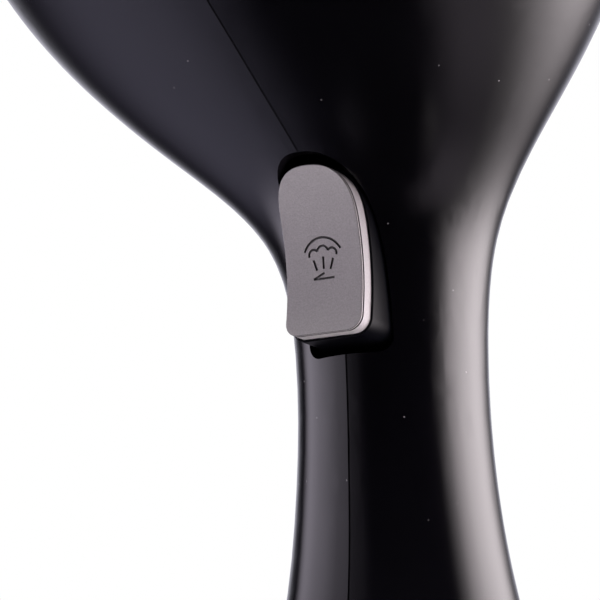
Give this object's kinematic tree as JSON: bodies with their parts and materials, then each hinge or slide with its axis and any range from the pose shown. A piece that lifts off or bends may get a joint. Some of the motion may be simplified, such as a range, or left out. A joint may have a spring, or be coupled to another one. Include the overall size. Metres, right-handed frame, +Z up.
{
  "type": "travel garment steamer",
  "caption": "Handheld upright garment steamer with a wide steam head, slim handle, rocking steam trigger, filler lid and flat foot.",
  "frame": {"origin": "on the surface it stands on, on the handle's axis", "axes": "+Z up along the handle, -Y forward out of the steam head, +X to the side, across the parting line"},
  "size_m": [0.1382, 0.1499, 0.2866],
  "materials": {
    "shell_gloss": "moulded high-gloss black plastic",
    "bezel_black": "fine-textured black heat-resistant plastic",
    "soleplate_metal": "brushed and clear-coated aluminium",
    "cast_aluminium": "as-cast aluminium",
    "element_steel": "heat-darkened steel tube",
    "silicone_red": "red-brown silicone",
    "screw_steel": "zinc-plated steel",
    "thermostat_phenolic": "brown phenolic moulding",
    "brass_fitting": "turned brass",
    "shield_steel": "thin galvanised steel",
    "tank_clear": "clear moulded plastic",
    "rubber_black": "matt black rubber",
    "silicone_clear": "milky silicone",
    "trigger_grey": "satin warm grey with fine grain",
    "inner_nylon": "natural nylon",
    "spring_steel": "drawn spring wire",
    "component_black": "moulded epoxy",
    "plunger_red": "red acetal",
    "lens_clear": "frosted clear light guide",
    "button_black": "satin black",
    "circuit_board": "green solder mask",
    "coil_copper": "enamelled copper winding"
  },
  "bodies": {
    "housing": {"left_shell": "shell_gloss", "right_shell": "shell_gloss", "front_bezel": "bezel_black", "soleplate": "soleplate_metal", "heater_block": "cast_aluminium", "heater_element": "element_steel", "chamber_gasket": "silicone_red", "chamber_cover": "cast_aluminium", "chamber_screws": "screw_steel", "thermostat": "thermostat_phenolic", "thermal_fuse": "screw_steel", "steam_inlet": "brass_fitting", "heat_shield": "shield_steel", "water_tank": "tank_clear", "tank_grommet": "rubber_black", "filler_collar": "bezel_black", "lid_pin": "screw_steel", "trigger_carrier": "inner_nylon", "trigger_pin": "screw_steel", "trigger_spring": "spring_steel", "trigger_switch": "component_black", "button_collar": "bezel_black", "status_lens": "lens_clear", "power_board": "circuit_board", "button_switch": "component_black", "button_spring": "spring_steel", "pump_body": "inner_nylon", "pump_spring": "spring_steel", "pump_yoke": "shield_steel", "pump_coil": "coil_copper", "pump_mounts": "rubber_black", "suction_hose": "silicone_clear", "delivery_hose": "silicone_clear", "foot_pad": "rubber_black", "base_plate": "bezel_black", "base_screws": "screw_steel", "cord_gland": "rubber_black", "terminal_block": "inner_nylon", "control_board": "circuit_board", "board_components": "component_black"},
    "trigger": {"trigger_cap": "trigger_grey", "trigger_body": "shell_gloss"},
    "switch_plunger": {"switch_plunger": "plunger_red"},
    "power_button": {"power_button": "button_black"},
    "filler_lid": {"filler_lid": "shell_gloss", "filler_seal": "silicone_clear"},
    "pump_piston": {"pump_piston": "screw_steel"}
  },
  "joints": [
    {"name": "trigger_pivot", "type": "hinge", "parent": "housing", "child": "trigger", "pos_m": [0, -0.014, 0.126], "axis": [1, 0, 0], "range_deg": [0, 7], "stiffness_Nm_per_rad": 0.3, "springref_deg": -5.73},
    {"name": "switch_press", "type": "slide", "parent": "housing", "child": "switch_plunger", "axis": [0, 1, 0], "range_m": [0, 0.0015]},
    {"name": "power_press", "type": "slide", "parent": "housing", "child": "power_button", "axis": [0, -1, 0], "range_m": [0, 0.0009], "stiffness_N_per_m": 900, "springref_m": -0.0012, "deforming": ["button_spring"]},
    {"name": "filler_lid_hinge", "type": "hinge", "parent": "housing", "child": "filler_lid", "pos_m": [0, -0.01952, 0.27329], "axis": [-1, 0, 0], "range_deg": [0, 100]},
    {"name": "piston_stroke", "type": "slide", "parent": "housing", "child": "pump_piston", "axis": [0, 0, 1], "range_m": [-0.0015, 0.0015], "stiffness_N_per_m": 600, "deforming": ["pump_spring"]}
  ],
  "couplings": [
    {"joint": "switch_press", "follows": "trigger_pivot", "m_per_rad": 0.0115}
  ]
}
